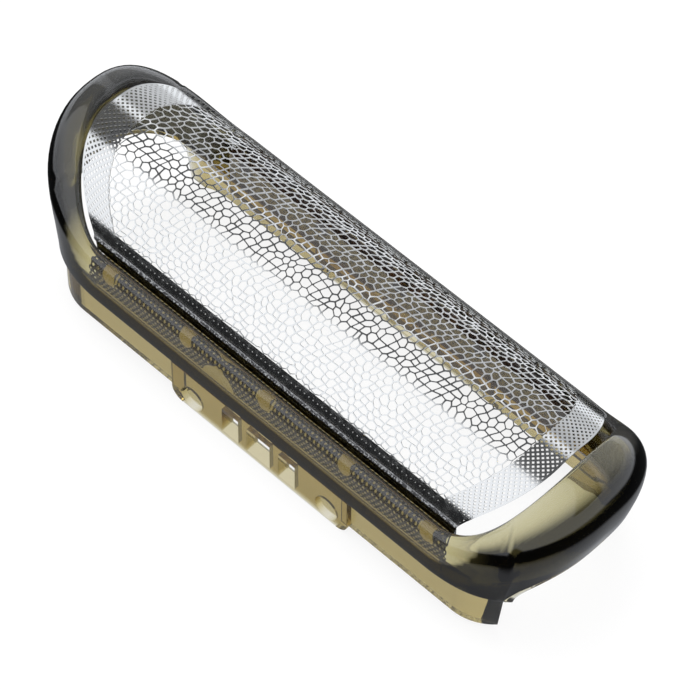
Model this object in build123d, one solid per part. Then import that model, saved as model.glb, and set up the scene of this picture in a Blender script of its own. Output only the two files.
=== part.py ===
from build123d import *
import math
import os

# Shaver foil cassette: a moulded bezel, an arched metal foil and the carrier that holds the foil.
# +X runs along the cassette, +Z is up, and the cassette stands on the bottom edges of its two tongues.
# The bezel's lower face is its foot: heights of the bezel, the foil and the stakes are measured from there.
# All sizes are in mm.

# Carrier below the bezel
tongue_drop = 4.9
tongue_length = 21.5
tongue_corner = 1.3
tongue_proud = 0.57
skirt_drop = 4.4
skirt_inset = 0.67
skirt_reach = 0.25
skirt_wall = 1.1
skirt_corner = 5.3
leg_draft = 4.0
tongue_wall = 1.4

# Opening of the bezel, as its lip is seen from above
lip_length = 55.4
lip_width = 17.4
lip_corner = 7.8

# Bezel section on the long sides
rail_height = 5.3
rail_foot = 1.55
rail_belly = 1.3
rail_crest = 0.55
rail_round = 0.3

# Bezel section in the middle of each end
lobe_rise = 8.6
lobe_foot = 2.4
lobe_belly = 4.0
lobe_crest = 0.7
lobe_round = 0.72
lobe_wall = 1.2
lobe_fullness = 2.4
lobe_blend = 1.25

# Bezel form shared by rails and lobes
belly_level = 0.71
foot_round = 0.35
corner_foot = 0.5
corner_belly = 0.3
corner_steps = 9
lead_in = 2.4

# Arched opening under each lobe, edged by a thin strip of the carrier
end_gap = 15.2
end_rise = 4.35
end_band = 0.4

# Foil
foil_sheet = 0.1
foil_side_gap = 0.3
foil_end_gap = 1.0
foil_corner_gap = 0.5
foil_trim_clearance = 0.075
foil_edge_lift = 0.15
foil_arch_base = 5.1
cell_pitch = 3.0
cell_strut = 0.5
cell_row_angle = 21.0
cell_rows = 7
mesh_band = 3.0
cut_margin = 0.5

# Carrier inside the bezel
shelf_height = 1.1
shelf_depth = 1.0
fit_clearance = 0.1
carrier_wall = 1.0
carrier_wall_length = 41.6
carrier_top_gap = 0.2

# Stakes that hold the foil's margins
stake_pitch = 9.6
stake_count = 5
stake_diameter = 1.5
stake_height = 3.5
stake_head = 0.18
stake_clearance = 0.05
notch_radius = 1.9
notch_place = -5.5

# Windows and detents of the tongues
middle_window = 2.8
outer_window = 2.0
window_pillar = 1.06
window_sill = 0.55
detent_spacing = 16.5
detent_diameter = 2.6
detent_depth = 0.6
detent_margin = 0.25

# Worked-out places
foot_z = tongue_drop
lip_x = lip_length / 2
lip_y = lip_width / 2
corner_x = lip_x - lip_corner
corner_y = lip_y - lip_corner
foot_y = lip_y + rail_foot
foil_outside = lip_y - foil_side_gap
foil_inside = foil_outside - foil_sheet
arch_z = foot_z + foil_arch_base
skirt_y = foot_y - skirt_inset
skirt_x = lip_x + skirt_reach
tongue_y = skirt_y + tongue_proud
carrier_outside = foil_inside
carrier_inside = carrier_outside - carrier_wall
foil_x = lip_x - foil_end_gap
foil_flank = foil_outside + foil_trim_clearance
foil_corner = lip_corner - foil_corner_gap


def rounded_plan(half_x, half_y, corner):
    """Rounded rectangle seen from above, centred on the origin."""
    return RectangleRounded(2 * half_x, 2 * half_y, corner)


def lobe_share(y):
    """How far the bezel has risen from rail (0) to lobe (1) where its lip stands at y."""
    across = min(abs(y) / lip_y, 1.0)
    return (1 - across ** lobe_fullness) ** lobe_blend


def blend(rail, lobe, share):
    """Size between its value on the rail and its value at the lobe."""
    return rail + (lobe - rail) * share


def bezel_section(x, y, out_x, out_y):
    """Upright section of the bezel at the lip point (x, y), facing outwards along (out_x, out_y)."""
    share = lobe_share(y)
    corner = (2 * out_x * out_y) ** 2
    foot = blend(rail_foot, lobe_foot, share) + corner_foot * corner
    belly = blend(rail_belly, lobe_belly, share) + corner_belly * corner
    crest = blend(rail_crest, lobe_crest, share)
    lift = blend(rail_round, lobe_round, share)
    lip = rail_height + lobe_rise * share
    sole_in = ((lobe_foot - lobe_wall) * share, 0)
    sole_out = (foot - foot_round, 0)
    toe = (foot, foot_round)
    belly_out = (belly, belly_level * lip)
    belly_in = ((lobe_belly - lobe_wall) * share, belly_level * lip)
    top = (crest, lip + lift)
    edge = (0, lip - lift)
    up, down, inwards, outwards = (0, 1), (0, -1), (-1, 0), (1, 0)
    outline = [
        Line(sole_in, sole_out),
        Spline(sole_out, toe, tangents=[outwards, up]),
        Spline(toe, belly_out, tangents=[up, up]),
        Spline(belly_out, top, tangents=[up, inwards]),
        Spline(top, edge, tangents=[inwards, down]),
        Spline(edge, belly_in, tangents=[(share, share - 1), down]),
        Spline(belly_in, sole_in, tangents=[down, down]),
    ]
    upright = Plane(origin=(x, y, foot_z), x_dir=(out_x, out_y, 0), z_dir=(out_y, -out_x, 0))
    return upright * make_face(outline)


def lobe_shell():
    """Lobe of the +X end down to the foot, as a thin wall lofted from rail to rail."""
    stations = [(corner_x - lead_in, -lip_y, 0, -1), (corner_x - lead_in / 2, -lip_y, 0, -1)]
    for step in range(corner_steps + 1):
        angle = 90 * step / corner_steps
        out_x = math.sin(math.radians(angle))
        out_y = -math.cos(math.radians(angle))
        stations.append((corner_x + lip_corner * out_x, -corner_y + lip_corner * out_y, out_x, out_y))
    far_side = [(x, -y, out_x, -out_y) for x, y, out_x, out_y in reversed(stations)]
    return loft([bezel_section(*station) for station in stations + far_side])


def end_opening(margin):
    """Opening under the +X lobe, opened out by margin: an elliptical arch on two drafted legs."""
    half = end_gap / 2 + margin
    wider = half + foot_z * math.tan(math.radians(leg_draft))
    crown = Pos(0, foot_z) * Ellipse(half, end_rise + margin)
    legs = Polyline((-half, foot_z), (-wider, 0), (wider, 0), (half, foot_z), close=True)
    outline = crown + make_face(legs)
    return extrude(Plane.YZ.offset(carrier_wall_length / 2) * outline, lip_x)


def outer_frame():
    """Bezel: two straight rails joined by a lobe at each end, which arches over its opening."""
    lobe = lobe_shell() - end_opening(end_band)
    rail_x = corner_x - lead_in
    rail = extrude(bezel_section(rail_x, -lip_y, 0, -1), 2 * rail_x, dir=(-1, 0, 0))
    return lobe + rail + mirror(lobe, Plane.YZ) + mirror(rail, Plane.XZ)


def foil_profile(radius):
    """Section of the arch: a half circle on two straight legs, closed along the bottom."""
    edge_z = foot_z + shelf_height + foil_edge_lift
    near_leg = Line((-radius, edge_z), (-radius, arch_z))
    crown = ThreePointArc((-radius, arch_z), (0, arch_z + radius), (radius, arch_z))
    far_leg = Line((radius, arch_z), (radius, edge_z))
    base = Line((radius, edge_z), (-radius, edge_z))
    return Plane.YZ * make_face(Curve() + [near_leg, crown, far_leg, base])


def stakes(diameter, start, end):
    """Round pins along both long sides, standing out from start to end."""
    pins = []
    first = -(stake_count - 1) / 2 * stake_pitch
    for side in (-1, 1):
        for index in range(stake_count):
            seat = Plane(
                origin=(first + index * stake_pitch, side * start, foot_z + stake_height),
                z_dir=(0, side, 0),
            )
            pins.append(extrude(seat * Circle(diameter / 2), end - start))
    return pins


def foil_end(y):
    """Half-length of the foil where it stands at y across the cassette."""
    lean = max(abs(y) - (foil_flank - foil_corner), 0)
    return foil_x - foil_corner + math.sqrt(foil_corner ** 2 - lean ** 2)


def foil_cells():
    """Six-sided cells over the crown, in staggered rows that stop short of the end mesh."""
    cells = []
    cell = RegularPolygon((cell_pitch - cell_strut) / 2, 6, major_radius=False, rotation=30)
    depth = foil_inside - cut_margin
    for row in range(cell_rows):
        angle = math.radians((row - (cell_rows - 1) / 2) * cell_row_angle)
        lean_y = math.sin(angle)
        lean_z = math.cos(angle)
        reach = foil_end(foil_outside * lean_y) - mesh_band - cell_pitch / 2
        shift = (row % 2) / 2 * cell_pitch
        last = int((reach - shift) / cell_pitch)
        first = -last - row % 2
        for column in range(first, last + 1):
            seat = Plane(
                origin=(column * cell_pitch + shift, depth * lean_y, arch_z + depth * lean_z),
                x_dir=(1, 0, 0),
                z_dir=(0, lean_y, lean_z),
            )
            cells.append(extrude(seat * cell, foil_sheet + 2 * cut_margin))
    return cells


def shaving_foil():
    """Arched sheet, trimmed to the opening in plan, with its cells, stake holes and notch."""
    arch = extrude(foil_profile(foil_outside), foil_x, both=True)
    hollow = extrude(foil_profile(foil_inside), foil_x, both=True)
    trim = extrude(rounded_plan(foil_x, foil_flank, foil_corner), arch_z + lip_y)
    sheet = (arch - hollow) & trim
    holes = stakes(stake_diameter + 2 * stake_clearance, carrier_inside, foil_outside + cut_margin)
    notch_seat = Plane(
        origin=(notch_place, 0, foot_z + shelf_height + foil_edge_lift),
        z_dir=(0, -1, 0),
    )
    notch = extrude(notch_seat * Circle(notch_radius), foil_outside + cut_margin)
    return sheet - holes - notch - foil_cells()


def side_wall():
    """Wall on the +Y side that backs the foil's margin."""
    top = arch_z - carrier_top_gap
    wall = Box(
        carrier_wall_length,
        carrier_wall,
        top - foot_z,
        align=(Align.CENTER, Align.MAX, Align.MAX),
    )
    return Pos(0, carrier_outside, top) * wall


def tongue():
    """Deep middle of the skirt on the +Y side, rounded at its lower corners."""
    plate = Rectangle(tongue_length, tongue_drop, align=(Align.CENTER, Align.MIN))
    lower = plate.vertices().group_by(Axis.Y)[0]
    outside = Plane(origin=(0, tongue_y, 0), x_dir=(-1, 0, 0), z_dir=(0, 1, 0))
    return extrude(outside * fillet(lower, tongue_corner), -tongue_wall)


def tongue_openings():
    """Three windows and two blind detents of the tongue on the +Y side."""
    openings = []
    window_z = foot_z - shelf_depth - window_sill
    side_place = (middle_window + outer_window) / 2 + window_pillar
    for place, width in ((-side_place, outer_window), (0, middle_window), (side_place, outer_window)):
        window = Box(width, tongue_y, window_z, align=(Align.CENTER, Align.MIN, Align.MIN))
        openings.append(Pos(place, carrier_inside, window_sill) * window)
    detent_z = detent_margin + detent_diameter / 2
    for side in (-1, 1):
        seat = Plane(origin=(side * detent_spacing / 2, tongue_y, detent_z), z_dir=(0, -1, 0))
        openings.append(extrude(seat * Circle(detent_diameter / 2), detent_depth))
    return openings


def foil_carrier():
    """Inner frame: shelves, walls with stakes, skirt with corner legs, the two tongues and the end strips."""
    plug = rounded_plan(lip_x - fit_clearance, lip_y - fit_clearance, lip_corner - fit_clearance)
    hole = Rectangle(lip_length, 2 * carrier_inside)
    skirt_out = rounded_plan(skirt_x, skirt_y, skirt_corner)
    skirt_in = rounded_plan(skirt_x - skirt_wall, skirt_y - skirt_wall, skirt_corner - skirt_wall)
    shelf = Pos(0, 0, foot_z) * extrude(plug - hole, shelf_height)
    seat = Pos(0, 0, foot_z) * extrude(skirt_out - hole, -shelf_depth)
    skirt = Pos(0, 0, foot_z) * extrude(skirt_out - skirt_in, -skirt_drop)
    pins = stakes(stake_diameter, carrier_inside, foil_outside + stake_head)
    pocket = Box(
        tongue_length - 2 * skirt_wall,
        2 * (tongue_y - tongue_wall),
        foot_z - shelf_depth,
        align=(Align.CENTER, Align.CENTER, Align.MIN),
    )
    half_body = side_wall() + tongue()
    body = shelf + seat + skirt - pocket
    body = body + half_body + mirror(half_body, Plane.XZ) + pins
    half_cuts = tongue_openings()
    far_cuts = [mirror(cut, Plane.XZ) for cut in half_cuts]
    strip = lobe_shell() & end_opening(end_band)
    legs_gap = end_opening(0)
    body = body - half_cuts - far_cuts + [strip, mirror(strip, Plane.YZ)]
    return body - [legs_gap, mirror(legs_gap, Plane.YZ)]


os.makedirs("parts", exist_ok=True)
for make in (outer_frame, shaving_foil, foil_carrier):
    export_step(make(), f"parts/{make.__name__}.step")
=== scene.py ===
# %% [markdown]
# # A shaver foil cassette
# The cassette has three pieces: a smoky translucent bezel, an arched metal foil full of small cells, and
# an olive carrier whose tongues clip into the shaver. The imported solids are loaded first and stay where
# they are. Each piece that needs a finer surface is then worked out with numpy in the same frame and
# stands in for its solid.

# %% Load the frame
import math

import bmesh
import bpy
import numpy as np
from mathutils import Matrix, Vector


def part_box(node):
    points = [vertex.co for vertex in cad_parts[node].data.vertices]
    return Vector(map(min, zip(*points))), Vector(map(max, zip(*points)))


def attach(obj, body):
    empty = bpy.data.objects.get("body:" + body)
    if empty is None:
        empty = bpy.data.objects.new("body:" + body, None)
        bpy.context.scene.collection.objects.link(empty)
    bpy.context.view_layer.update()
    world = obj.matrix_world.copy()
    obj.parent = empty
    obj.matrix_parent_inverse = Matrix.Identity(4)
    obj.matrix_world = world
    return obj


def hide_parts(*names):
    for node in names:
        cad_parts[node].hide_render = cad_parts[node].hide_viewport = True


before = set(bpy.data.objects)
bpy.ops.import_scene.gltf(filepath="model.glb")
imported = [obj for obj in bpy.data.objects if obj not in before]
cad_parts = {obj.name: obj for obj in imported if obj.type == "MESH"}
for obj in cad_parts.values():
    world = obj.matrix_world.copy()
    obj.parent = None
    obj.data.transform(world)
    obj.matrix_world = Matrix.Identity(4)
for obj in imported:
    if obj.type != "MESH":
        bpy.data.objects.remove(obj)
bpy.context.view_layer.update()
MM = 0.001
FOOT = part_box("outer_frame")[0].z / MM
print("bezel foot stands at", round(FOOT, 3), "mm")

# %% [markdown]
# ## Meshes from arrays
# Every new piece is a set of points and faces kept in numpy arrays. One helper hands them to Blender: it
# takes the points in millimetres and any number of face arrays, one for triangles, one for quads and so
# on. Writing whole arrays with foreach_set is far quicker than adding vertices one by one.


# %% Helper that turns arrays into a piece
def make_piece(name, points, face_arrays, node, smooth=30):
    """Mesh object from points (n, 3) in mm and face arrays (m, corners), shaded smooth below an angle."""
    sizes = np.concatenate([np.full(len(faces), faces.shape[1]) for faces in face_arrays])
    corners = np.concatenate([faces.ravel() for faces in face_arrays])
    mesh = bpy.data.meshes.new(name)
    mesh.vertices.add(len(points))
    mesh.vertices.foreach_set("co", (points * MM).astype(np.float32).ravel())
    mesh.loops.add(len(corners))
    mesh.loops.foreach_set("vertex_index", corners.astype(np.int32))
    mesh.polygons.add(len(sizes))
    starts = np.cumsum(sizes) - sizes
    mesh.polygons.foreach_set("loop_start", starts.astype(np.int32))
    mesh.update(calc_edges=True)
    mesh.validate()
    mesh.shade_smooth()
    mesh.set_sharp_from_angle(angle=math.radians(smooth))
    piece = bpy.data.objects.new(name, mesh)
    bpy.context.scene.collection.objects.link(piece)
    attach(piece, "root")
    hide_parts(node)
    print(name, "has", len(points), "points and", int((sizes - 2).sum()), "triangles")
    return piece


# %% [markdown]
# ## The bezel's form
# On the real cassette the bezel is one moulding: low rails along the sides and a tall lobe at each end,
# like the pommel and cantle of a saddle. It could be sculpted or lofted by hand. Here it is one section
# carried along the rounded outline of its opening, and only the sizes of that section change from rail to
# lobe. The lobes are thin hoods: their wall leans out, and its lower edge rises in an arch over the open
# end of the carrier.

# %% Bezel sizes in millimetres
LIP_X, LIP_Y, LIP_CORNER = 27.7, 8.7, 7.8
RAIL = {"height": 5.3, "foot": 1.55, "belly": 1.3, "crest": 0.55, "lift": 0.3, "foot_in": 0, "belly_in": 0}
LOBE = {"height": 13.9, "foot": 2.4, "belly": 4, "crest": 0.7, "lift": 0.72, "foot_in": 1.2, "belly_in": 2.8}
CORNER_FOOT, CORNER_BELLY = 0.5, 0.3
FULLNESS, BLEND_POWER = 2.4, 1.25
BELLY_LEVEL, FOOT_ROUND = 0.71, 0.35
ARCH_HALF, ARCH_RISE = 8.0, 4.75
SEAM, DENSE, SOLE_STEPS = 0.03, 150, 4


# %% Path of the opening
def lip_path(rail_steps, corner_steps, end_steps):
    """Rounded rectangle walked once round, by quarters: points (n, 2) and outward directions (n, 2)."""
    flat_x = LIP_X - LIP_CORNER
    flat_y = LIP_Y - LIP_CORNER
    rail = np.linspace(0, flat_x, rail_steps, endpoint=False)
    turn = np.radians(np.linspace(0, 90, corner_steps, endpoint=False))
    end = np.linspace(-flat_y, 0, end_steps, endpoint=False)
    x = np.concatenate([rail, flat_x + LIP_CORNER * np.sin(turn), np.full(end_steps, LIP_X)])
    y = np.concatenate([np.full(rail_steps, -LIP_Y), -flat_y - LIP_CORNER * np.cos(turn), end])
    out_x = np.concatenate([np.zeros(rail_steps), np.sin(turn), np.ones(end_steps)])
    out_y = np.concatenate([np.full(rail_steps, -1.0), -np.cos(turn), np.zeros(end_steps)])
    place = np.column_stack([x, y])
    out = np.column_stack([out_x, out_y])
    # The second quarter mirrors the first across Y, and the second half is the first turned by half a turn.
    flip = np.array([1, -1])
    middle = np.array([[LIP_X, 0.0]])
    half = np.concatenate([place, middle, place[:0:-1] * flip])
    half_out = np.concatenate([out, [[1.0, 0.0]], out[:0:-1] * flip])
    return np.concatenate([half, -half]), np.concatenate([half_out, -half_out])


# %% Section of the bezel
def bend(start, end, leave, arrive, samples):
    """Cubic curve between points (n, 2) that leaves and arrives along given directions.

    Both directions are made as long as the chord."""
    chord = np.linalg.norm(end - start, axis=1)[:, None, None]
    leave, arrive = (np.reshape(way, (-1, 1, 2)) for way in (leave, arrive))
    leave = chord * leave / np.linalg.norm(leave, axis=2, keepdims=True)
    arrive = chord * arrive / np.linalg.norm(arrive, axis=2, keepdims=True)
    t = np.linspace(0, 1, samples, endpoint=False)[None, :, None]
    near = (1 + 2 * t) * (1 - t) ** 2 * start[:, None] + t * (1 - t) ** 2 * leave
    far = t * t * (3 - 2 * t) * end[:, None] - t * t * (1 - t) * arrive
    return near + far


def above_arch(curve, place, out, samples):
    """The part of each dense curve (n, m, 2), walked up from the foot, that stands above the end arch."""
    across = place[:, None, 1] + curve[..., 0] * out[:, None, 1]
    arch = ARCH_RISE * np.sqrt(np.clip(1 - (across / ARCH_HALF) ** 2, 0, 1))
    start = np.argmax(curve[..., 1] >= arch, axis=1)[:, None]
    index = start + (curve.shape[1] - 1 - start) * np.linspace(0, 1, samples)
    low = np.minimum(index.astype(int), curve.shape[1] - 2)
    share = (index - low)[..., None]
    lower = np.take_along_axis(curve, low[..., None], axis=1)
    upper = np.take_along_axis(curve, low[..., None] + 1, axis=1)
    return lower + (upper - lower) * share


def lobe_share(place):
    """Rise of the bezel from rail (0) to lobe (1) at each path point, from its place across the opening."""
    across = np.clip(np.abs(place[:, 1]) / LIP_Y, 0, 1)
    return (1 - across ** FULLNESS) ** BLEND_POWER


def bezel_sections(place, out, samples):
    """Closed sections (n, m, 2) for the path points: distance out from the lip and height above the foot."""
    share = lobe_share(place)
    corner = (2 * out[:, 0] * out[:, 1]) ** 2
    size = {key: RAIL[key] + (LOBE[key] - RAIL[key]) * share for key in RAIL}
    foot = size["foot"] + CORNER_FOOT * corner
    belly = size["belly"] + CORNER_BELLY * corner
    ground = np.full_like(foot, SEAM)
    level = BELLY_LEVEL * size["height"]
    sole_in = np.column_stack([size["foot_in"], ground])
    sole_out = np.column_stack([foot - FOOT_ROUND, ground])
    toe = np.column_stack([foot, ground + FOOT_ROUND])
    belly_out = np.column_stack([belly, level])
    belly_in = np.column_stack([size["belly_in"], level])
    top = np.column_stack([size["crest"], size["height"] + size["lift"]])
    lip = np.column_stack([np.zeros_like(foot), size["height"] - size["lift"]])
    roof = np.column_stack([-share, 1 - share])
    up, down, inwards, outwards = (0, 1), (0, -1), (-1, 0), (1, 0)
    outside = [
        bend(sole_out, toe, outwards, up, DENSE),
        bend(toe, belly_out, up, up, DENSE),
        bend(belly_out, top, up, inwards, DENSE),
        bend(top, lip, inwards, down, DENSE),
        lip[:, None],
    ]
    inside = [bend(sole_in, belly_in, up, up, DENSE), bend(belly_in, lip, up, roof, DENSE), lip[:, None]]
    outside = above_arch(np.concatenate(outside, axis=1), place, out, 4 * samples)
    inside = above_arch(np.concatenate(inside, axis=1), place, out, 2 * samples)[:, ::-1]
    sole = np.linspace(0, 1, SOLE_STEPS + 1)[None, 1:-1, None]
    edge = inside[:, -1:] + (outside[:, :1] - inside[:, -1:]) * sole
    return np.concatenate([outside, inside[:, 1:], edge], axis=1)


# %% Ring grid
def ring_faces(rings, across):
    """Quads of a grid that closes on itself both ways, so the result is a closed tube."""
    ring, spot = np.meshgrid(np.arange(rings), np.arange(across), indexing="ij")
    after = (ring + 1) % rings
    beside = (spot + 1) % across
    quads = [ring * across + spot, after * across + spot, after * across + beside, ring * across + beside]
    return np.stack(quads, axis=-1).reshape(-1, 4)


SAMPLES = 14
place, out = lip_path(rail_steps=14, corner_steps=26, end_steps=3)
sections = bezel_sections(place, out, SAMPLES)
bezel_points = np.concatenate(
    [
        place[:, None] + sections[..., :1] * out[:, None],
        FOOT + sections[..., 1:],
    ],
    axis=2,
)
bezel = make_piece(
    "smoked_bezel",
    bezel_points.reshape(-1, 3),
    [ring_faces(*bezel_points.shape[:2])],
    "outer_frame",
)

# %% [markdown]
# ## Marks on the bezel
# Two point attributes tell the bezel's material where it is. The rails' inner faces touch the foil's
# margins, so no air lies between them and light goes straight through to the stakes. The second mark is
# painted shade: the lower wall is darkened nearly to black, in a narrow band along the rails that climbs
# nearly to the crest of each lobe. Above it the wall stays clear khaki. A painted texture could say the
# same, but the points already know their place in the form.


# %% Marks for the bezel's finish and painted shade
def mark_points(piece, name, values):
    """Point attribute of a piece, one number for each point."""
    mark = piece.data.attributes.new(name, "FLOAT", "POINT")
    mark.data.foreach_set("value", values.astype(np.float32).ravel())
    print(name, "marks", int((values > 0.5).sum()), "points")


def ease(values, start, end):
    """Smooth step: 0 at the start, 1 at the end."""
    t = np.clip((values - start) / (end - start), 0, 1)
    return t * t * (3 - 2 * t)


# Shares of the section's height: full painted shade below the first, none above the second.
RAIL_PAINTED_SHADE, LOBE_PAINTED_SHADE = (0.38, 0.45), (0.93, 1.03)
TOUCH_FADE, PAINTED_SHADE_CLIMB = 3, 5
inner_face = slice(4 * SAMPLES, 6 * SAMPLES - 1)
rise = lobe_share(place)[:, None]
touching = np.zeros(bezel_points.shape[:2])
touching[:, inner_face] = np.clip(1 - TOUCH_FADE * rise, 0, 1)
mark_points(bezel, "touching", touching)
height_share = sections[..., 1] / (RAIL["height"] + (LOBE["height"] - RAIL["height"]) * rise)
climb = np.clip(PAINTED_SHADE_CLIMB * rise, 0, 1)
full, none = (low + (high - low) * climb for low, high in zip(RAIL_PAINTED_SHADE, LOBE_PAINTED_SHADE))
# Painted shade: the wall is darkened to near black below these shares of its height.
painted_shade = ease(height_share, none, full)
painted_shade[:, inner_face] = 0
mark_points(bezel, "painted_shade", painted_shade)

# %% [markdown]
# ## The foil, unrolled
# A shaving foil is grown as a thin metal sheet on a pattern and then bent into an arch. The same order
# works here: the pattern is drawn flat, with one coordinate along the cassette and one across the sheet,
# and then rolled over the arch. A boolean cut for each of its thousands of holes would be slow and messy,
# so each hole brings its own faces.

# %% Foil sizes in millimetres
ARCH_RADIUS = 8.4
ARCH_CENTRE = FOOT + 5.1
SHEET = 0.07
EDGE_Z = FOOT + 1.25
QUARTER = ARCH_RADIUS * math.pi / 2
HALF_WIDTH = QUARTER + ARCH_CENTRE - EDGE_Z
FOIL_X, FOIL_FLANK, FOIL_CORNER = 26.7, 8.7, 7.3
END_RIM, END_MESH = 0.2, 3.0
CELL_EDGE = ARCH_RADIUS * math.radians(70)
DOT_EDGE = ARCH_RADIUS * math.radians(78)
BEAD_PLACE = ARCH_RADIUS * math.radians(83)
BEAD_WIDTH, BEAD_HEIGHT, BEAD_GRAIN = 0.22, 0.14, 0.03
FIRST_WAVE, SECOND_WAVE = (31, 40), (47, -29)
MARGIN_TOP = QUARTER + 0.3


# %% Rolling the sheet
def roll(flat, depth):
    """Flat points (n, 2) to the arch: a half circle on two upright legs, at a depth below the outer face."""
    along, across = flat[:, 0], flat[:, 1]
    angle = np.clip(across / ARCH_RADIUS, -math.pi / 2, math.pi / 2)
    drop = np.maximum(np.abs(across) - QUARTER, 0)
    first = np.sin(FIRST_WAVE[0] * along + FIRST_WAVE[1] * across)
    second = np.sin(SECOND_WAVE[0] * along + SECOND_WAVE[1] * across)
    grain = BEAD_GRAIN * first * second
    bead = (BEAD_HEIGHT + grain) * np.exp(-(((np.abs(across) - BEAD_PLACE) / BEAD_WIDTH) ** 2))
    radius = ARCH_RADIUS - depth + bead
    return np.column_stack([along, radius * np.sin(angle), ARCH_CENTRE + radius * np.cos(angle) - drop])


def foil_end(across):
    """Half-length of the sheet at a place across it: the plan is a rectangle with rounded corners."""
    angle = np.clip(across / ARCH_RADIUS, -math.pi / 2, math.pi / 2)
    lean = np.maximum(np.abs(ARCH_RADIUS * np.sin(angle)) - (FOIL_FLANK - FOIL_CORNER), 0)
    return FOIL_X - FOIL_CORNER + np.sqrt(FOIL_CORNER ** 2 - lean ** 2)


# %% Collecting patches of the sheet
class Sheet:
    """Patches of a perforated sheet, each with flat points and faces.

    A patch becomes an outer face, an inner face and the walls of its holes."""

    def __init__(self):
        self.points = []
        self.faces = {3: [], 4: [], 6: []}
        self.count = 0

    def add(self, flat, faces, walls):
        """Outer and inner copies of the flat points, faces on both, and quads along each wall edge."""
        size = len(flat)
        self.points += [roll(flat, 0.0), roll(flat, SHEET)]
        for part in faces:
            self.faces[part.shape[1]] += [self.count + part, self.count + size + part[:, ::-1]]
        upper = walls + self.count
        lower = upper + size
        self.faces[4].append(np.column_stack([upper[:, 0], lower[:, 0], lower[:, 1], upper[:, 1]]))
        self.count += 2 * size

    def arrays(self):
        """All points and one face array for each number of corners."""
        return np.concatenate(self.points), [np.concatenate(part) for part in self.faces.values() if part]


# %% [markdown]
# ## Cells
# Under a lens the crown is a net of uneven five and six sided cells with thin struts. A Voronoi diagram
# would give it, but a shaken triangular lattice is simpler: each lattice point owns the six triangles
# round it, their centres are the corners of its cell, and neighbours share corners. With no shake the
# same function gives the even dots of the margins.


# %% Cells of a shaken lattice
ROW_STEP = math.sqrt(0.75)
PINCH_SEED, STRUT_SEED = 5, 3
TINY = 1e-6


def lattice(pitch, half_u, half_v, shake, seed):
    """Triangular lattice (rows, columns, 2) over a rectangle, each point shaken by a share of the pitch."""
    rows = int(half_v / (pitch * ROW_STEP)) + 2
    columns = int(half_u / pitch) + 2 + rows // 2 + 1
    row, column = np.meshgrid(np.arange(-rows, rows + 1), np.arange(-columns, columns + 1), indexing="ij")
    u = (column + row / 2) * pitch
    v = row * pitch * ROW_STEP
    move = np.random.default_rng(seed).uniform(-shake, shake, (2,) + u.shape) * pitch
    return np.stack([u + move[0], v + move[1]], axis=-1)


def cell_corners(sites, pinch):
    """Centres of the lattice's triangles, numbered, and for each inner site the six around it in turn.

    A share of the struts is pinched to nothing, so that four struts meet in one node."""
    upward = (sites[:-1, :-1] + sites[:-1, 1:] + sites[1:, :-1]) / 3
    downward = (sites[:-1, 1:] + sites[1:, 1:] + sites[1:, :-1]) / 3
    pinched = np.random.default_rng(PINCH_SEED).random(upward.shape[:2] + (1,)) < pinch
    node = (upward + downward) / 2
    upward = np.where(pinched, node, upward)
    downward = np.where(pinched, node, downward)
    rows, columns = upward.shape[:2]
    first = np.arange(rows * columns).reshape(rows, columns)
    second = first + rows * columns
    around = np.stack(
        [
            first[1:, 1:],
            second[1:, :-1],
            first[1:, :-1],
            second[:-1, :-1],
            first[:-1, 1:],
            second[:-1, 1:],
        ],
        axis=-1,
    )
    corners = np.concatenate([upward.reshape(-1, 2), downward.reshape(-1, 2)])
    return corners, around.reshape(-1, 6), sites[1:-1, 1:-1].reshape(-1, 2)


# A corner sharper than this slides no further along its bisector.
LEAST_SPREAD = 0.35


def inset(polygons, width):
    """Polygons (n, k, 2) with every side moved inwards by a width (n,): corners slide along bisectors."""
    side = np.roll(polygons, -1, axis=1) - polygons
    side /= np.maximum(np.linalg.norm(side, axis=2, keepdims=True), TINY)
    inward = np.stack([-side[..., 1], side[..., 0]], axis=-1)
    before = np.roll(inward, 1, axis=1)
    spread = 1 + (inward * before).sum(axis=2, keepdims=True)
    return polygons + width[:, None, None] * (inward + before) / np.maximum(spread, LEAST_SPREAD)


def area(polygons):
    """Signed area of each polygon (n, k, 2) by the shoelace sum."""
    after = np.roll(polygons, -1, axis=1)
    return (polygons[..., 0] * after[..., 1] - polygons[..., 1] * after[..., 0]).sum(axis=1) / 2


def add_cells(sheet, corners, around, strut, spread, least, rounding):
    """Cells with a hole each: faces between the cell's corners and the inset hole, and the hole's wall.

    The strut varies by a share, the spread, from cell to cell, and a hole below the least area stays solid.
    Rounding cuts the hole's corners off; with none the hole has six corners."""
    uneven = np.random.default_rng(STRUT_SEED).uniform(1 - spread, 1 + spread, len(around))
    holes = inset(corners[around], strut / 2 * uneven)
    is_open = area(holes) > least
    ring, holes = around[is_open], holes[is_open]
    faces = [around[~is_open]]
    if rounding:
        ahead, behind = np.roll(holes, -1, axis=1), np.roll(holes, 1, axis=1)
        cut = np.stack([holes + rounding * (behind - holes), holes + rounding * (ahead - holes)], axis=2)
        holes = cut.reshape(len(ring), 2 * holes.shape[1], 2)
    loop = len(corners) + np.arange(holes.shape[0] * holes.shape[1]).reshape(holes.shape[:2])
    arrive, leave = loop, loop
    if rounding:
        arrive, leave = loop[:, 0::2], loop[:, 1::2]
        faces.append(np.stack([ring, leave, arrive], axis=-1).reshape(-1, 3))
    sides = [ring, np.roll(ring, -1, axis=1), np.roll(arrive, -1, axis=1), leave]
    faces.append(np.stack(sides, axis=-1).reshape(-1, 4))
    walls = np.stack([loop, np.roll(loop, -1, axis=1)], axis=-1).reshape(-1, 2)
    sheet.add(np.concatenate([corners, holes.reshape(-1, 2)]), faces, walls)
    return len(ring)


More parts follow.
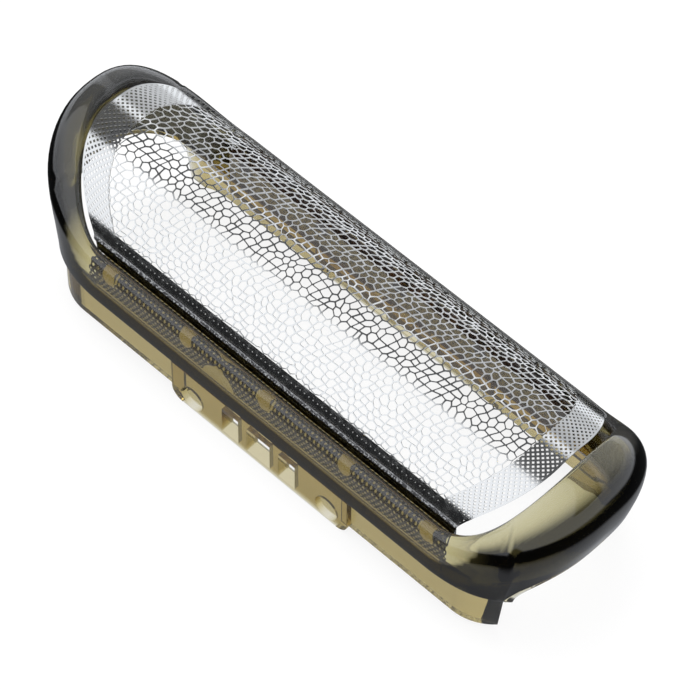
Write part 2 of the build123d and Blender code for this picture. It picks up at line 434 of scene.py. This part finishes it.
# %% Crown of the foil
CELL_PITCH, CELL_STRUT, CELL_SHAKE, CELL_LEAST = 0.8, 0.11, 0.36, 0.04
CELL_PINCH, CELL_SPREAD, CELL_ROUNDING = 0.4, 0.35, 0.12
foil = Sheet()
sites = lattice(CELL_PITCH, FOIL_X, CELL_EDGE, CELL_SHAKE, seed=7)
corners, around, owners = cell_corners(sites, CELL_PINCH)
reach = foil_end(owners[:, 1]) - END_MESH
kept = (np.abs(owners[:, 1]) < CELL_EDGE) & (np.abs(owners[:, 0]) < reach)
corners[:, 1] = np.clip(corners[:, 1], -CELL_EDGE, CELL_EDGE)
limit = foil_end(corners[:, 1]) - END_MESH
corners[:, 0] = np.clip(corners[:, 0], -limit, limit)
crown_cells = add_cells(foil, corners, around[kept], CELL_STRUT, CELL_SPREAD, CELL_LEAST, CELL_ROUNDING)
print("crown cells:", crown_cells)

# %% [markdown]
# ## End mesh and margins
# Both ends of the foil carry a fine mesh of square holes that stand on their corners, and a plain rim.
# The long sides go down as margins with rows of small dots, between a coined bead and the edge, with
# round holes for the stakes and one half-round notch. They are patches of the same flat sheet.

# %% End mesh
MESH_STEP, MESH_BAR = 0.27, 0.47


def add_end_mesh(sheet, side):
    """Squares on their corners, each with a smaller square hole, from the crown's cells to the end rim."""
    columns = int(round((END_MESH - END_RIM) / MESH_STEP / 2)) * 2
    rows = int(DOT_EDGE / MESH_STEP)
    row, column = np.meshgrid(np.arange(-rows, rows + 1), np.arange(columns + 1), indexing="ij")
    centres = np.stack([column, row], axis=-1)[(row + column) % 2 == 0]
    around = np.array([[1, 0], [0, 1], [-1, 0], [0, -1]])
    squares = centres[:, None] + around
    holes = centres[:, None] + around * (1 - MESH_BAR)
    both = np.concatenate([squares.reshape(-1, 2), holes.reshape(-1, 2)]).astype(float)
    share = np.clip(both[:, 0] / columns, 0, 1)
    across = np.clip(both[:, 1] * MESH_STEP, -DOT_EDGE, DOT_EDGE)
    end = foil_end(across)
    along = (end - END_MESH) + share * (END_MESH - END_RIM)
    flat = np.column_stack([side * along, across])
    number = np.arange(len(centres) * 4).reshape(-1, 4)
    ahead = np.roll(number, -1, axis=1)
    shift = len(centres) * 4
    faces = np.stack([number, ahead, ahead + shift, number + shift], axis=-1).reshape(-1, 4)
    walls = np.stack([number + shift, ahead + shift], axis=-1).reshape(-1, 2)
    if side < 0:
        faces, walls = faces[:, ::-1], walls[:, ::-1]
    sheet.add(flat, [faces], walls)


for side in (-1, 1):
    add_end_mesh(foil, side)


# %% Plain strips
def add_strip(sheet, inner, outer, walled):
    """Band of quads between two flat lines (n, 2), walked the same way, with the outer line on the right.

    A wall closes the sheet along the outer line where that is a free edge."""
    count = len(inner)
    number = np.arange(count - 1)
    faces = np.column_stack([number, number + count, number + count + 1, number + 1])
    walls = np.column_stack([number + count, number + count + 1])
    sheet.add(np.concatenate([inner, outer]), [faces], walls if walled else walls[:0])


def end_line(side, inset_by, edge, steps):
    """Line that follows the foil's end at a distance inside it, from one long side to the other."""
    across = np.linspace(-edge, edge, steps) * side
    return np.column_stack([side * (foil_end(across) - inset_by), across])


def side_line(side, across, steps):
    """Line along the cassette at a place across the sheet."""
    place = np.full(steps, across)
    along = np.linspace(-1, 1, steps) * foil_end(place)
    return np.column_stack([side * along, -side * place])


END_STEPS, SIDE_STEPS, BEAD_STRIPS = 90, 160, 12
for side in (-1, 1):
    inner = end_line(side, END_RIM, DOT_EDGE, END_STEPS)
    outer = end_line(side, 0, DOT_EDGE, END_STEPS)
    add_strip(foil, inner, outer, walled=True)
bead_lines = np.linspace(DOT_EDGE, MARGIN_TOP, BEAD_STRIPS + 1)
for side in (-1, 1):
    for upper, lower in zip(bead_lines[:-1], bead_lines[1:]):
        inner = side_line(side, upper, SIDE_STEPS)
        outer = side_line(side, lower, SIDE_STEPS)
        add_strip(foil, inner, outer, walled=False)
print("plain strips:", 2 + 2 * BEAD_STRIPS)

# %% Dotted margins with stake holes and the notch
DOT_PITCH, DOT_LEAST = 0.52, 0.004
UPPER_STRUT, LOWER_STRUT = 0.4, 0.27
STAKE_PITCH, STAKE_HOLE, STAKE_HEIGHT = 9.6, 0.8, 3.5
STAKE_ACROSS = QUARTER + ARCH_CENTRE - (FOOT + STAKE_HEIGHT)
NOTCH_X, NOTCH_RADIUS = -5.5, 1.9
STAKE_X = STAKE_PITCH * np.arange(-2, 3)
STRETCH_FROM, STRETCH = 20.0, 1.097
FOIL_SMOOTH = 40


def add_dots(sheet, low, high, strut, openings):
    """Even dots between two places across the sheet, opened out round circles (x, across, radius)."""
    middle, half = (low + high) / 2, (high - low) / 2
    sites = lattice(DOT_PITCH, FOIL_X, half, 0.0, seed=1) + np.array([0, middle])
    corners, around, owners = cell_corners(sites, 0.0)
    kept = (np.abs(owners[:, 1] - middle) < half) & (np.abs(owners[:, 0]) < foil_end(owners[:, 1]))
    corners[:, 1] = np.clip(corners[:, 1], low, high)
    limit = foil_end(corners[:, 1])
    corners[:, 0] = np.clip(corners[:, 0], -limit, limit)
    for x, across, radius in openings:
        centre = np.array([x, across])
        kept &= np.linalg.norm(owners - centre, axis=1) > radius
        away = corners - centre
        distance = np.maximum(np.linalg.norm(away, axis=1, keepdims=True), TINY)
        corners = np.where(distance < radius, centre + away / distance * radius, corners)
    return add_cells(sheet, corners, around[kept], strut, 0.0, DOT_LEAST, rounding=0)


dots = 0
for side in (-1, 1):
    low, high = sorted((side * CELL_EDGE, side * DOT_EDGE))
    dots += add_dots(foil, low, high, UPPER_STRUT, [])
    low, high = sorted((side * MARGIN_TOP, side * HALF_WIDTH))
    openings = [(x, side * STAKE_ACROSS, STAKE_HOLE) for x in STAKE_X]
    if side < 0:
        openings.append((NOTCH_X, -HALF_WIDTH, NOTCH_RADIUS))
    dots += add_dots(foil, low, high, LOWER_STRUT, openings)
foil_points, foil_faces = foil.arrays()
# The foil lies a little to the left in its frame, so its left end reaches nearer to the lip.
left = foil_points[:, 0] < -STRETCH_FROM
foil_points[left, 0] = -STRETCH_FROM + (foil_points[left, 0] + STRETCH_FROM) * STRETCH
foil_piece = make_piece("nickel_foil", foil_points, foil_faces, "shaving_foil", FOIL_SMOOTH)
print("margin dots:", dots)

# %% Mark for the painted shade along the coined bead
# Angles from the crown between which the painted shade along the bead comes in and goes out.
BEAD_IN, BEAD_OUT = (79.5, 81), (90, 87)
lean = np.degrees(np.arctan2(np.abs(foil_points[:, 1]), foil_points[:, 2] - ARCH_CENTRE))
mark_points(foil_piece, "bead", ease(lean, *BEAD_IN) * ease(lean, *BEAD_OUT))

# %% [markdown]
# ## The carrier
# The carrier is plain moulding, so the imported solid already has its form. What it lacks is the small
# round that every moulded edge has and that catches the light. A merged copy of its mesh takes a bevel
# and stands in for the node.

# %% Carrier with soft edges
EDGE_ROUND = 0.04
MERGE_METRES = 1e-7
FLAT_ANGLE, SHARP_ANGLE, BEVEL_ANGLE = 0.5, 30, 40


def softened(node_name, name):
    """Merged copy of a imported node, with flat faces joined up and a small bevel on its sharp edges."""
    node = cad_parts[node_name]
    shape = bmesh.new()
    shape.from_mesh(node.data)
    bmesh.ops.remove_doubles(shape, verts=shape.verts, dist=MERGE_METRES)
    flat = math.radians(FLAT_ANGLE)
    bmesh.ops.dissolve_limit(shape, angle_limit=flat, verts=shape.verts, edges=shape.edges)
    mesh = bpy.data.meshes.new(name)
    shape.to_mesh(mesh)
    shape.free()
    mesh.shade_smooth()
    mesh.set_sharp_from_angle(angle=math.radians(SHARP_ANGLE))
    piece = bpy.data.objects.new(name, mesh)
    piece.matrix_world = node.matrix_world
    bpy.context.scene.collection.objects.link(piece)
    bevel = piece.modifiers.new("soft edges", "BEVEL")
    bevel.width = EDGE_ROUND * MM
    bevel.segments = 2
    bevel.limit_method = "ANGLE"
    bevel.angle_limit = math.radians(BEVEL_ANGLE)
    # Weighted normals keep the flat faces flat, so only the small rounds bend the light.
    piece.modifiers.new("flat faces", "WEIGHTED_NORMAL").keep_sharp = True
    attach(piece, "root")
    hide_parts(node_name)
    print(name, "has", len(mesh.polygons), "faces before its bevel")
    return piece


carrier = softened("foil_carrier", "olive_carrier")

# %% [markdown]
# ## Finishes
# All three materials are node based. The plastics could be given a flat colour and some transparency, but
# then thick and thin places would look alike. Here they take their colour from absorption inside, so thin
# lips stay light and deep walls go dark and olive, as in a tinted moulding. The bezel's skin also follows
# its two marks: painted shade on its lower wall, and touch. The foil is bare nickel, with painted shade
# along the coined bead, broken by lighter specks.


# %% Node helper
def new_material(name):
    """Empty node material with its shader and its node tree."""
    material = bpy.data.materials.new(name)
    material.use_nodes = True
    tree = material.node_tree
    return material, tree, tree.nodes["Principled BSDF"]


def math_node(tree, operation, first, second):
    """Output of a math node; each input is a socket or a number."""
    node = tree.nodes.new("ShaderNodeMath")
    node.operation = operation
    for socket, value in zip(node.inputs, (first, second)):
        if isinstance(value, (int, float)):
            socket.default_value = value
        else:
            tree.links.new(value, socket)
    return node.outputs["Value"]


def add_noise(tree, scale, detail):
    """Noise on object coordinates, at a scale in waves per metre."""
    coordinates = tree.nodes.new("ShaderNodeTexCoord")
    noise = tree.nodes.new("ShaderNodeTexNoise")
    noise.inputs["Scale"].default_value = scale
    noise.inputs["Detail"].default_value = detail
    tree.links.new(coordinates.outputs["Object"], noise.inputs["Vector"])
    return noise


NOISE_LOW, NOISE_HIGH = 0.35, 0.65


def vary(tree, noise, low, high, socket):
    """Drives a socket with the noise, mapped from its usual spread to low and high."""
    spread = tree.nodes.new("ShaderNodeMapRange")
    spread.inputs["From Min"].default_value = NOISE_LOW
    spread.inputs["From Max"].default_value = NOISE_HIGH
    spread.inputs["To Min"].default_value = low
    spread.inputs["To Max"].default_value = high
    tree.links.new(noise.outputs["Fac"], spread.inputs["Value"])
    tree.links.new(spread.outputs["Result"], socket)


def add_bump(tree, noise, shader, height):
    """Bump from the noise, with its height in metres."""
    bump = tree.nodes.new("ShaderNodeBump")
    bump.inputs["Distance"].default_value = height
    tree.links.new(noise.outputs["Fac"], bump.inputs["Height"])
    tree.links.new(bump.outputs["Normal"], shader.inputs["Normal"])


# %% Tinted plastics
# The second colour is painted shade: the near-black of the bezel's lower wall.
CLEAR, PAINTED_SHADE_COLOUR = (0.84, 0.85, 0.84), (0.006, 0.0055, 0.003)
PLASTIC_BEND, PLASTIC_ROUGH, ROUGH_SPREAD = 1.5, 0.03, 0.3
COAT_WEIGHT, COAT_ROUGH = 0.25, 0.12
HAZE_WAVES, RIPPLE_WAVES, FINE_BUMP = 900, 260, 0.000004
# Each tint is what a deep body lets through. Density is per metre. Clarity is the share that isn't milky.
SMOKY_TINT, SMOKY_DENSITY, SMOKY_CLARITY = (0.65, 0.58, 0.15), 1000, 0.955
OLIVE_TINT, OLIVE_DENSITY, OLIVE_CLARITY = (0.71, 0.6, 0.15), 1400, 0.98


def tinted_plastic(name, tint, density, clarity):
    """Slightly hazy plastic whose body absorbs light: the deeper it is, the darker and more olive it looks.

    A clear coat gives the gloss of the moulded skin."""
    material, tree, shader = new_material(name)
    shader.inputs["Base Color"].default_value = (*CLEAR, 1)
    shader.inputs["Transmission Weight"].default_value = clarity
    shader.inputs["IOR"].default_value = PLASTIC_BEND
    shader.inputs["Coat Weight"].default_value = COAT_WEIGHT
    shader.inputs["Coat Roughness"].default_value = COAT_ROUGH
    low, high = PLASTIC_ROUGH * (1 - ROUGH_SPREAD), PLASTIC_ROUGH * (1 + ROUGH_SPREAD)
    vary(tree, add_noise(tree, HAZE_WAVES, detail=3), low, high, shader.inputs["Roughness"])
    add_bump(tree, add_noise(tree, RIPPLE_WAVES, detail=2), shader, FINE_BUMP)
    absorb = tree.nodes.new("ShaderNodeVolumeAbsorption")
    absorb.inputs["Color"].default_value = (*tint, 1)
    absorb.inputs["Density"].default_value = density
    tree.links.new(absorb.outputs["Volume"], tree.nodes["Material Output"].inputs["Volume"])
    return material, tree, shader


def read_mark(tree, name):
    """Value of a point attribute."""
    node = tree.nodes.new("ShaderNodeAttribute")
    node.attribute_name = name
    return node.outputs["Fac"]


def mix_colours(tree, share, first, second):
    """First colour where the share is 0, second where it is 1."""
    mix = tree.nodes.new("ShaderNodeMix")
    mix.data_type = "RGBA"
    tree.links.new(share, mix.inputs["Factor"])
    mix.inputs["A"].default_value = (*first, 1)
    mix.inputs["B"].default_value = (*second, 1)
    return mix.outputs["Result"]


def smoky_plastic_and_painted_shade():
    """Tinted plastic, nearly black where the bezel is marked for painted shade, and vanishing where it
    touches the foil.
    """
    name = "smoky_olive_plastic_painted_shade"
    material, tree, shader = tinted_plastic(name, SMOKY_TINT, SMOKY_DENSITY, SMOKY_CLARITY)
    painted_shade = mix_colours(tree, read_mark(tree, "painted_shade"), CLEAR, PAINTED_SHADE_COLOUR)
    tree.links.new(painted_shade, shader.inputs["Base Color"])
    skin = math_node(tree, "SUBTRACT", 1.0, read_mark(tree, "touching"))
    tree.links.new(skin, shader.inputs["Alpha"])
    return material


def olive_plastic():
    """Tinted plastic of the carrier, alike all over."""
    return tinted_plastic("olive_plastic", OLIVE_TINT, OLIVE_DENSITY, OLIVE_CLARITY)[0]


# %% Bare nickel
# The second colour is painted shade, near black, for the band along the bead.
NICKEL, BEAD_SHADE_COLOUR = (0.86, 0.86, 0.84), (0.06, 0.06, 0.06)
SPECK_WAVES, SPECK_LEVEL, SPECK_SHARE = 5200, 0.55, 0.4
POLISH_WAVES, POLISH_FINE, POLISH_DULL = 1500, 0.1, 0.2
GRAIN_WAVES = 9000


def bare_nickel():
    """Metal with a faint uneven polish and a fine grown grain, and painted shade along the bead, broken by
    lighter specks.
    """
    material, tree, shader = new_material("bare_nickel")
    shader.inputs["Metallic"].default_value = 1
    specks = add_noise(tree, SPECK_WAVES, detail=2).outputs["Fac"]
    specks = math_node(tree, "GREATER_THAN", specks, SPECK_LEVEL)
    bead_shade = math_node(tree, "SUBTRACT", 1.0, math_node(tree, "MULTIPLY", specks, SPECK_SHARE))
    bead_shade = math_node(tree, "MULTIPLY", bead_shade, read_mark(tree, "bead"))
    tree.links.new(mix_colours(tree, bead_shade, NICKEL, BEAD_SHADE_COLOUR), shader.inputs["Base Color"])
    polish = add_noise(tree, POLISH_WAVES, detail=4)
    vary(tree, polish, POLISH_FINE, POLISH_DULL, shader.inputs["Roughness"])
    add_bump(tree, add_noise(tree, GRAIN_WAVES, detail=2), shader, FINE_BUMP)
    return material


def wear(piece, material):
    """Gives a piece its one material."""
    piece.data.materials.clear()
    piece.data.materials.append(material)
    print(piece.name, "wears", material.name)


wear(bezel, smoky_plastic_and_painted_shade())
wear(carrier, olive_plastic())
wear(foil_piece, bare_nickel())

# %% [markdown]
# ## Camera
# The photograph looks down steeply on one corner with a long lens. A camera could be placed by eye, but
# one that is fitted to the outline lets the render be laid over the photograph. The angles below turn the
# view axes, and the camera stands back along the view with its centre where the photograph has it.

# %% Camera
AZIMUTH, ELEVATION, TILT = 43.234, 54.685, 0.829
DISTANCE, SLIDE_RIGHT, SLIDE_UP = 343.36, 0.548, 1.63
FOCAL_PIXELS, FRAME_PIXELS, SENSOR = 3898.9, 690, 36

azimuth, elevation, tilt = (math.radians(angle) for angle in (AZIMUTH, ELEVATION, TILT))
back = np.array(
    [
        math.sin(azimuth) * math.cos(elevation),
        -math.cos(azimuth) * math.cos(elevation),
        math.sin(elevation),
    ]
)
sideways = np.array([math.cos(azimuth), math.sin(azimuth), 0])
upright = np.cross(back, sideways)
right = sideways * math.cos(tilt) + upright * math.sin(tilt)
up = upright * math.cos(tilt) - sideways * math.sin(tilt)
spot = DISTANCE * back + SLIDE_RIGHT * right + SLIDE_UP * up + np.array([0, 0, FOOT])
lens = bpy.data.cameras.new("camera")
lens.lens = FOCAL_PIXELS / FRAME_PIXELS * SENSOR
lens.sensor_width = SENSOR
lens.clip_start, lens.clip_end = 0.01, 10
camera = bpy.data.objects.new("camera", lens)
camera.matrix_world = Matrix.Translation(spot * MM) @ Matrix(np.column_stack([right, up, back])).to_4x4()
bpy.context.scene.collection.objects.link(camera)
bpy.context.scene.camera = camera
print("camera stands", round(DISTANCE), "mm away with a", round(lens.lens), "mm lens")

# %% [markdown]
# ## Floor, world and lamps
# The real ground is plain white, and the metal and the plastic show dark reflections. A bare white
# room would wash those out. So the floor and the world show white to the camera and through the plastic,
# while reflections see a simple studio: a painted shadow on the floor round the cassette, a white wall in
# front, a dark ceiling with one bright strip, and a grey wall behind.

# %% Floor
FLOOR_HALF = 1.5
floor_mesh = bpy.data.meshes.new("floor")
floor_corners = FLOOR_HALF * np.array([[-1, -1, 0], [1, -1, 0], [1, 1, 0], [-1, 1, 0]])
floor_mesh.from_pydata(floor_corners.tolist(), [], [[0, 1, 2, 3]])
floor = bpy.data.objects.new("floor", floor_mesh)
bpy.context.scene.collection.objects.link(floor)


def ramp(tree, value, low, high, stops, tint=(1, 1, 1)):
    """Levels of a tint between stops (value, level), on a colour ramp that runs from low to high."""
    spread = tree.nodes.new("ShaderNodeMapRange")
    spread.inputs["From Min"].default_value = low
    spread.inputs["From Max"].default_value = high
    tree.links.new(value, spread.inputs["Value"])
    node = tree.nodes.new("ShaderNodeValToRGB")
    elements = node.color_ramp.elements
    elements.remove(elements[1])
    elements[0].position = 0
    elements[0].color = [stops[0][1] * channel for channel in tint] + [1]
    for position, level in stops[1:]:
        elements.new((position - low) / (high - low)).color = [level * channel for channel in tint] + [1]
    tree.links.new(spread.outputs["Result"], node.inputs["Fac"])
    return node.outputs["Color"]


def mix_shaders(tree, share, first, second):
    """First shader where the share is 0, second where it is 1."""
    mix = tree.nodes.new("ShaderNodeMixShader")
    tree.links.new(share, mix.inputs["Fac"])
    tree.links.new(first, mix.inputs[1])
    tree.links.new(second, mix.inputs[2])
    return mix.outputs["Shader"]


def seen_in_mirror(tree, path):
    """1 for rays that a glossy surface has turned, and 0 for the others."""
    return math_node(tree, "GREATER_THAN", path["Glossy Depth"], 0.5)


# The light of the studio is cool. The painted shadow that reflections see on the floor is given by stops:
# the distance from the cassette's middle line in metres, and how bright reflections see the floor there.
COOL = (0.95, 0.98, 1.04)
SHADOW_STOPS = [(0.0, 0.5), (0.0085, 0.5), (0.0105, 0.28), (0.016, 0.28), (0.019, 0.02), (0.042, 0.02), (0.05, 1.0)]
SHADOW_HALF, SHADOW_REACH = 0.022, 0.1
PAPER, PAPER_ROUGH, PAPER_GLOW = (0.9, 0.9, 0.9), 0.9, 0.85


def white_ground():
    """White paper that glows where it is seen and still takes a soft shadow.

    Reflections see a painted shadow laid round the cassette on it."""
    material, tree, shader = new_material("white_ground")
    shader.inputs["Base Color"].default_value = (*PAPER, 1)
    shader.inputs["Roughness"].default_value = PAPER_ROUGH
    path = tree.nodes.new("ShaderNodeLightPath").outputs
    place = tree.nodes.new("ShaderNodeTexCoord")
    axes = tree.nodes.new("ShaderNodeSeparateXYZ")
    tree.links.new(place.outputs["Object"], axes.inputs["Vector"])
    beyond = math_node(tree, "SUBTRACT", math_node(tree, "ABSOLUTE", axes.outputs["X"], 0.0), SHADOW_HALF)
    beyond = math_node(tree, "MAXIMUM", beyond, 0.0)
    along = math_node(tree, "MULTIPLY", beyond, beyond)
    across = math_node(tree, "MULTIPLY", axes.outputs["Y"], axes.outputs["Y"])
    total = math_node(tree, "ADD", along, across)
    # Reflections see this emission: a painted shadow on the floor round the cassette.
    painted_shadow = tree.nodes.new("ShaderNodeEmission")
    distance = math_node(tree, "SQRT", total, 0.0)
    tree.links.new(ramp(tree, distance, 0.0, SHADOW_REACH, SHADOW_STOPS, COOL), painted_shadow.inputs["Color"])
    glow = tree.nodes.new("ShaderNodeEmission")
    seen = math_node(tree, "MAXIMUM", path["Is Camera Ray"], path["Is Transmission Ray"])
    share = math_node(tree, "MULTIPLY", seen, PAPER_GLOW)
    paper = mix_shaders(tree, share, shader.outputs["BSDF"], glow.outputs["Emission"])
    surface = mix_shaders(tree, seen_in_mirror(tree, path), paper, painted_shadow.outputs["Emission"])
    tree.links.new(surface, tree.nodes["Material Output"].inputs["Surface"])
    return material


wear(floor, white_ground())

# %% World
# Each stop is a direction's share along +Y, and how bright reflections see the studio there.
STUDIO = [
    (-1.0, 1.0),
    (-0.42, 1.0),
    (-0.33, 0.09),
    (0.3, 0.09),
    (0.37, 1.0),
    (0.46, 1.0),
    (0.52, 0.45),
    (0.8, 0.65),
    (1.0, 0.65),
]
world = bpy.data.worlds.new("studio")
bpy.context.scene.world = world
world.use_nodes = True
tree = world.node_tree
white = tree.nodes["Background"]
white.inputs["Color"].default_value = (1, 1, 1, 1)
coordinates = tree.nodes.new("ShaderNodeTexCoord")
axes = tree.nodes.new("ShaderNodeSeparateXYZ")
tree.links.new(coordinates.outputs["Generated"], axes.inputs["Vector"])
studio = tree.nodes.new("ShaderNodeBackground")
tree.links.new(ramp(tree, axes.outputs["Y"], -1, 1, STUDIO, COOL), studio.inputs["Color"])
path = tree.nodes.new("ShaderNodeLightPath").outputs
mirrored = seen_in_mirror(tree, path)
shown = mix_shaders(tree, mirrored, white.outputs["Background"], studio.outputs["Background"])
tree.links.new(shown, tree.nodes["World Output"].inputs["Surface"])
# The last count printed is the stops of the painted shadow on the floor.
print("studio has", len(STUDIO), "stops and the card", len(SHADOW_STOPS))


# %% Lamps
def soft_lamp(name, place, size, power):
    """Square soft box at a place in metres, turned to the cassette."""
    light = bpy.data.lights.new(name, "AREA")
    light.size = size
    light.energy = power
    lamp = bpy.data.objects.new(name, light)
    lamp.location = place
    lamp.rotation_euler = Vector(place).to_track_quat("Z", "Y").to_euler()
    bpy.context.scene.collection.objects.link(lamp)
    print(name, "gives", power, "W")
    return lamp


LAMP_PLACE, LAMP_SIZE, LAMP_POWER = (-0.1, 0.05, 0.6), 0.35, 3
soft_lamp("top_box", LAMP_PLACE, LAMP_SIZE, LAMP_POWER).visible_glossy = False

# %% [markdown]
# ## Last settings
# Light crosses many plastic walls before it leaves the cassette, so it is given enough bounces to get out
# again.

# %% Bounces and colour
WALL_BOUNCES, GLOSSY_BOUNCES = 24, 8
bpy.context.scene.view_settings.view_transform = "Standard"
bpy.context.scene.cycles.max_bounces = WALL_BOUNCES
bpy.context.scene.cycles.transmission_bounces = WALL_BOUNCES
bpy.context.scene.cycles.glossy_bounces = GLOSSY_BOUNCES
